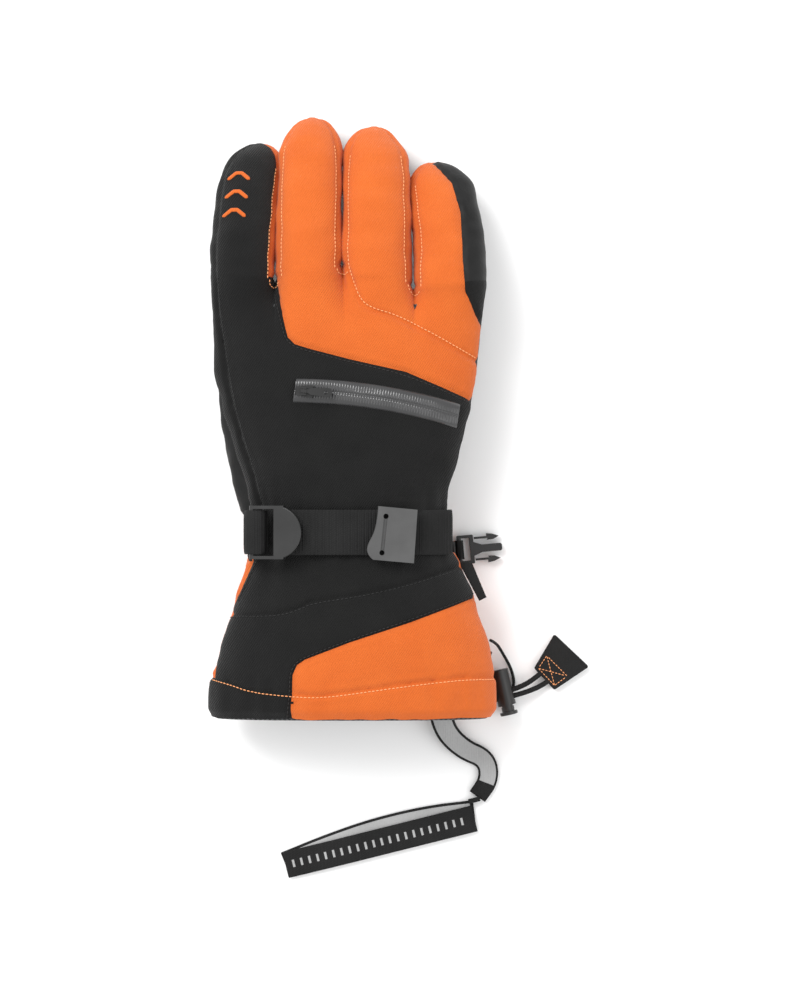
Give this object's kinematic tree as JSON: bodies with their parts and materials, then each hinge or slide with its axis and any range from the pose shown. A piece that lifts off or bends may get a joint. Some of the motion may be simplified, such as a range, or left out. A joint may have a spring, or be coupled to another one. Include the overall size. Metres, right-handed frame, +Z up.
{
  "type": "ski glove",
  "caption": "Insulated right-hand winter glove lying palm down, with a wrist strap, zipped pocket, drawcord cuff, clip and wrist leash.",
  "frame": {"origin": "middle of the flat patch on which the cuff's hem rests", "axes": "+Y towards the fingertips, +Z up out of the back of the hand, +X towards the little finger"},
  "size_m": [0.1907, 0.3843, 0.0624],
  "materials": {
    "colour_shell": "woven softshell, matte",
    "black_shell": "woven softshell, matte",
    "palm_leather": "fine-grained synthetic leather",
    "wadding": "soft fibre fill",
    "lining": "brushed knit",
    "webbing": "ribbed polypropylene webbing",
    "tape": "narrow woven tape",
    "zip_coating": "coated waterproof zip tape, satin",
    "coil_plastic": "moulded nylon coil",
    "hard_plastic": "moulded acetal",
    "tab_plastic": "moulded soft-touch plastic",
    "zip_metal": "black painted zinc",
    "spring_steel": "spring wire",
    "cord": "braided elastic cord",
    "leash_band": "elastic woven band",
    "elastic": "ribbed elastic"
  },
  "bodies": {
    "glove": {"back_panel": "black_shell", "knuckle_panel": "colour_shell", "cuff_back_panel": "black_shell", "cuff_colour_panel": "colour_shell", "hem_casing": "black_shell", "hem_casing_colour": "colour_shell", "cuff_palm_panel": "colour_shell", "palm_panel": "palm_leather", "palm_patch": "palm_leather", "wrist_elastic": "elastic", "pocket_bag": "lining", "hand_wadding": "wadding", "hand_lining": "lining", "thumb_gusset": "palm_leather", "strap_base": "webbing", "strap_anchor": "webbing", "side_label": "tape", "zip_tape": "zip_coating", "zip_coil": "coil_plastic", "zip_stop": "zip_metal", "buckle_web": "webbing", "cord_keeper": "tape", "drawcord_upper": "cord", "drawcord_lower": "cord", "end_tab": "tape", "leash_lead": "leash_band", "leash_loop": "leash_band", "leash_tack": "leash_band"},
    "thumb": {"thumb_back": "palm_leather", "thumb_palm": "palm_leather", "thumb_liner": "wadding"},
    "zip_slider": {"zip_slider": "zip_metal"},
    "zip_puller": {"zip_puller": "hard_plastic"},
    "strap_lock": {"strap_lock": "hard_plastic", "strap_fold": "webbing"},
    "strap_end": {"pull_tab": "tab_plastic", "strap_tail": "webbing"},
    "buckle": {"buckle_frame": "hard_plastic"},
    "buckle_prong_outer": {"buckle_prong_outer": "hard_plastic"},
    "buckle_prong_inner": {"buckle_prong_inner": "hard_plastic"},
    "cord_lock": {"lock_barrel": "hard_plastic"},
    "cord_lock_plunger": {"lock_plunger": "hard_plastic", "lock_spring": "spring_steel"},
    "index": {"index_back": "black_shell", "index_palm": "palm_leather", "index_side_walls": "colour_shell", "index_liner": "wadding"},
    "middle": {"middle_back": "colour_shell", "middle_palm": "palm_leather", "middle_side_walls": "colour_shell", "middle_liner": "wadding"},
    "ring": {"ring_back": "colour_shell", "ring_palm": "palm_leather", "ring_side_walls": "colour_shell", "ring_liner": "wadding"},
    "little": {"little_back": "colour_shell", "little_palm": "palm_leather", "little_side_walls": "colour_shell", "little_liner": "wadding"}
  },
  "joints": [
    {"name": "index_flex", "type": "hinge", "parent": "glove", "child": "index", "pos_m": [0, 0.188, 0.02], "axis": [-1, 0, 0], "range_deg": [0, 55]},
    {"name": "middle_flex", "type": "hinge", "parent": "glove", "child": "middle", "pos_m": [0, 0.188, 0.02], "axis": [-1, 0, 0], "range_deg": [0, 55]},
    {"name": "ring_flex", "type": "hinge", "parent": "glove", "child": "ring", "pos_m": [0, 0.188, 0.02], "axis": [-1, 0, 0], "range_deg": [0, 55]},
    {"name": "little_flex", "type": "hinge", "parent": "glove", "child": "little", "pos_m": [0, 0.188, 0.02], "axis": [-1, 0, 0], "range_deg": [0, 55]},
    {"name": "thumb_swing", "type": "hinge", "parent": "glove", "child": "thumb", "pos_m": [-0.0602, 0.0858, 0.0097], "axis": [0, 0, 1], "range_deg": [0, 50]},
    {"name": "zip_slide", "type": "slide", "parent": "glove", "child": "zip_slider", "axis": [0.9976, -0.0693, 0], "range_m": [0, 0.052]},
    {"name": "puller_turn", "type": "hinge", "parent": "zip_slider", "child": "zip_puller", "pos_m": [-0.0224, 0.12863, 0.0612], "axis": [-0.0693, -0.9976, 0], "range_deg": [0, 105]},
    {"name": "strap_lock_lift", "type": "hinge", "parent": "glove", "child": "strap_lock", "pos_m": [-0.0482, 0.059, 0.0552], "axis": [0, -1, 0], "range_deg": [0, 30]},
    {"name": "strap_pull", "type": "slide", "parent": "glove", "child": "strap_end", "axis": [1, 0, 0], "range_m": [0, 0.012]},
    {"name": "buckle_turn", "type": "hinge", "parent": "glove", "child": "buckle", "pos_m": [0.0552, 0.0496, 0.0025], "axis": [0.0872, -0.9962, 0], "range_deg": [0, 70]},
    {"name": "prong_outer_flex", "type": "hinge", "parent": "buckle", "child": "buckle_prong_outer", "pos_m": [0.06309, 0.05581, 0.0025], "axis": [0, 0, -1], "range_deg": [0, 6], "stiffness_Nm_per_rad": 0.02},
    {"name": "prong_inner_flex", "type": "hinge", "parent": "buckle", "child": "buckle_prong_inner", "pos_m": [0.06405, 0.04485, 0.0025], "axis": [0, 0, 1], "range_deg": [0, 6], "stiffness_Nm_per_rad": 0.02},
    {"name": "cord_lock_slide", "type": "slide", "parent": "glove", "child": "cord_lock", "axis": [0.974, 0.2267, 0], "range_m": [0, 0.002]},
    {"name": "plunger_press", "type": "slide", "parent": "cord_lock", "child": "cord_lock_plunger", "axis": [-0.2267, 0.974, 0], "range_m": [0, 0.003], "stiffness_N_per_m": 300, "deforming": ["lock_spring"]}
  ]
}
